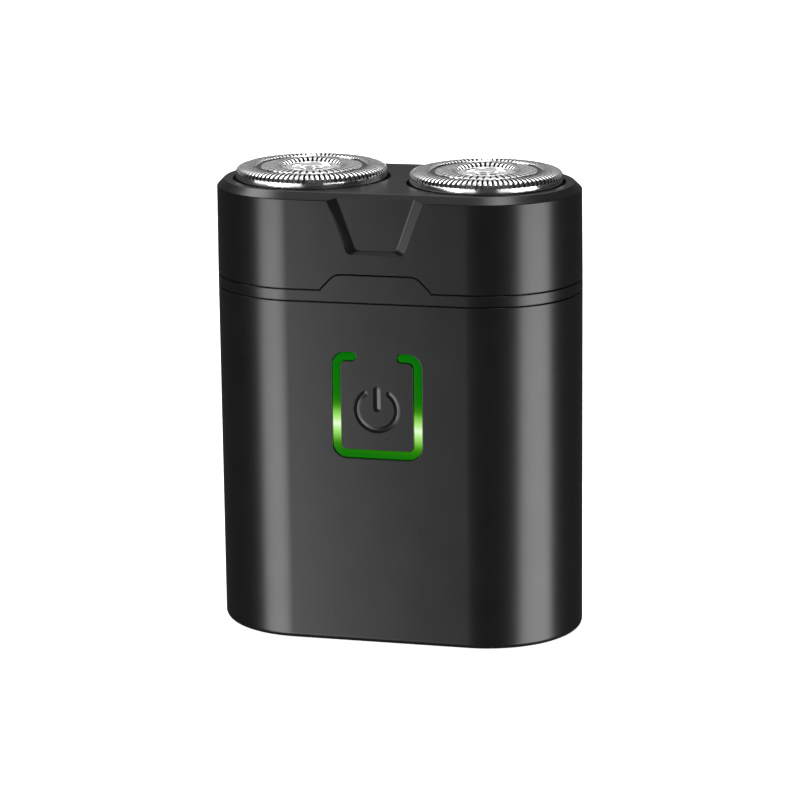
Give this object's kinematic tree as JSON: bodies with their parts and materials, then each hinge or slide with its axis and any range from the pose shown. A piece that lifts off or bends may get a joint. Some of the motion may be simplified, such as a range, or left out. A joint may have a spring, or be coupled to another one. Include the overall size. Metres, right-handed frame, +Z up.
{
  "type": "electric shaver",
  "caption": "Pocket rotary shaver with a flat rounded body, lit inlay round a press key, and a lift-off head with floating slotted steel caps over spinning cutters.",
  "frame": {"origin": "centre of the flat base, at the bottom of the body", "axes": "+Z up out of the shaving heads, -Y out of the front with the press key, +X to the right seen from the front"},
  "size_m": [0.06, 0.031, 0.0757],
  "materials": {
    "shell_black": "satin black moulding",
    "inlay_green": "translucent green, lit from behind",
    "rubber_seal": "matt",
    "magnet_metal": "nickel plated",
    "frame_grey": "matt dark grey",
    "axle_steel": "ground",
    "motor_steel": "zinc plated",
    "switch_black": "matt",
    "cell_sleeve": "shrink sleeve over steel",
    "board_green": "solder mask",
    "led_white": "clear resin over white",
    "screw_steel": "blackened",
    "winding_copper": "lacquered copper on laminated iron",
    "pinion_brass": "cut brass",
    "gear_white": "natural acetal",
    "cap_steel": "polished stainless steel",
    "cutter_steel": "ground"
  },
  "bodies": {
    "base": {"body_shell": "shell_black", "collar": "shell_black", "collar_gasket": "rubber_seal", "collar_magnets": "magnet_metal", "light_guide": "inlay_green", "inner_frame": "frame_grey", "gear_plate": "frame_grey", "gear_axles": "axle_steel", "spindle_seals": "rubber_seal", "motor_can": "motor_steel", "motor_end_cap": "switch_black", "motor_magnets": "magnet_metal", "battery_cell": "cell_sleeve", "battery_tabs": "axle_steel", "main_board": "board_green", "board_parts": "switch_black", "leds": "led_white", "switch_body": "switch_black", "charge_board": "board_green", "charge_parts": "switch_black", "usb_shell": "axle_steel", "usb_tongue": "switch_black", "frame_screws": "screw_steel", "deck_screws": "screw_steel", "motor_screws": "screw_steel"},
    "key": {"power_key": "shell_black"},
    "plunger": {"switch_plunger": "led_white"},
    "rotor": {"motor_shaft": "axle_steel", "armature": "winding_copper", "commutator": "pinion_brass", "pinion": "pinion_brass"},
    "drive_left": {"gear_left": "gear_white", "spring_left": "axle_steel"},
    "drive_right": {"gear_right": "gear_white", "spring_right": "axle_steel"},
    "spindle_left_body": {"spindle_left": "frame_grey"},
    "spindle_right_body": {"spindle_right": "frame_grey"},
    "head": {"head_housing": "shell_black", "retainer": "frame_grey", "head_magnets": "magnet_metal", "retainer_screws": "screw_steel"},
    "cap_left_body": {"cap_left": "cap_steel", "cap_hub_left": "cap_steel", "cap_seat_left": "shell_black"},
    "cap_right_body": {"cap_right": "cap_steel", "cap_hub_right": "cap_steel", "cap_seat_right": "shell_black"},
    "cutter_left_body": {"cutter_left": "cutter_steel", "carrier_left": "gear_white"},
    "cutter_right_body": {"cutter_right": "cutter_steel", "carrier_right": "gear_white"}
  },
  "joints": [
    {"name": "head_lift", "type": "slide", "parent": "base", "child": "head", "axis": [0, 0, 1], "range_m": [0, 0.03]},
    {"name": "power_key_press", "type": "hinge", "parent": "base", "child": "key", "pos_m": [0, -0.0148, 0.0476], "axis": [1, 0, 0], "range_deg": [0, 2.4], "stiffness_Nm_per_rad": 0.08, "springref_deg": -0.57},
    {"name": "switch_press", "type": "slide", "parent": "base", "child": "plunger", "axis": [0, 1, 0], "range_m": [0, 0.0004]},
    {"name": "rotor_spin", "type": "hinge", "parent": "base", "child": "rotor", "pos_m": [0, 0, 0.0245], "axis": [0, 0, 1], "continuous": true},
    {"name": "gear_left_spin", "type": "hinge", "parent": "base", "child": "drive_left", "pos_m": [-0.0145, 0, 0.0502], "axis": [0, 0, 1], "continuous": true},
    {"name": "spindle_left_float", "type": "slide", "parent": "drive_left", "child": "spindle_left_body", "axis": [0, 0, -1], "range_m": [0, 0.0012], "deforming": ["spring_left"]},
    {"name": "cap_left_float", "type": "slide", "parent": "head", "child": "cap_left_body", "axis": [0, 0, -1], "range_m": [0, 0.0012], "stiffness_N_per_m": 600, "springref_m": -0.0008},
    {"name": "cutter_left_spin", "type": "hinge", "parent": "cap_left_body", "child": "cutter_left_body", "pos_m": [-0.0145, 0, 0.0706], "axis": [0, 0, 1], "continuous": true},
    {"name": "gear_right_spin", "type": "hinge", "parent": "base", "child": "drive_right", "pos_m": [0.0145, 0, 0.0502], "axis": [0, 0, 1], "continuous": true},
    {"name": "spindle_right_float", "type": "slide", "parent": "drive_right", "child": "spindle_right_body", "axis": [0, 0, -1], "range_m": [0, 0.0012], "deforming": ["spring_right"]},
    {"name": "cap_right_float", "type": "slide", "parent": "head", "child": "cap_right_body", "axis": [0, 0, -1], "range_m": [0, 0.0012], "stiffness_N_per_m": 600, "springref_m": -0.0008},
    {"name": "cutter_right_spin", "type": "hinge", "parent": "cap_right_body", "child": "cutter_right_body", "pos_m": [0.0145, 0, 0.0706], "axis": [0, 0, 1], "continuous": true}
  ],
  "couplings": [
    {"joint": "switch_press", "follows": "power_key_press", "m_per_rad": 0.0094},
    {"joint": "gear_left_spin", "follows": "rotor_spin", "ratio": -0.26087},
    {"joint": "cutter_left_spin", "follows": "rotor_spin", "ratio": -0.26087},
    {"joint": "spindle_left_float", "follows": "cap_left_float", "ratio": 1},
    {"joint": "gear_right_spin", "follows": "rotor_spin", "ratio": -0.26087},
    {"joint": "cutter_right_spin", "follows": "rotor_spin", "ratio": -0.26087},
    {"joint": "spindle_right_float", "follows": "cap_right_float", "ratio": 1}
  ]
}
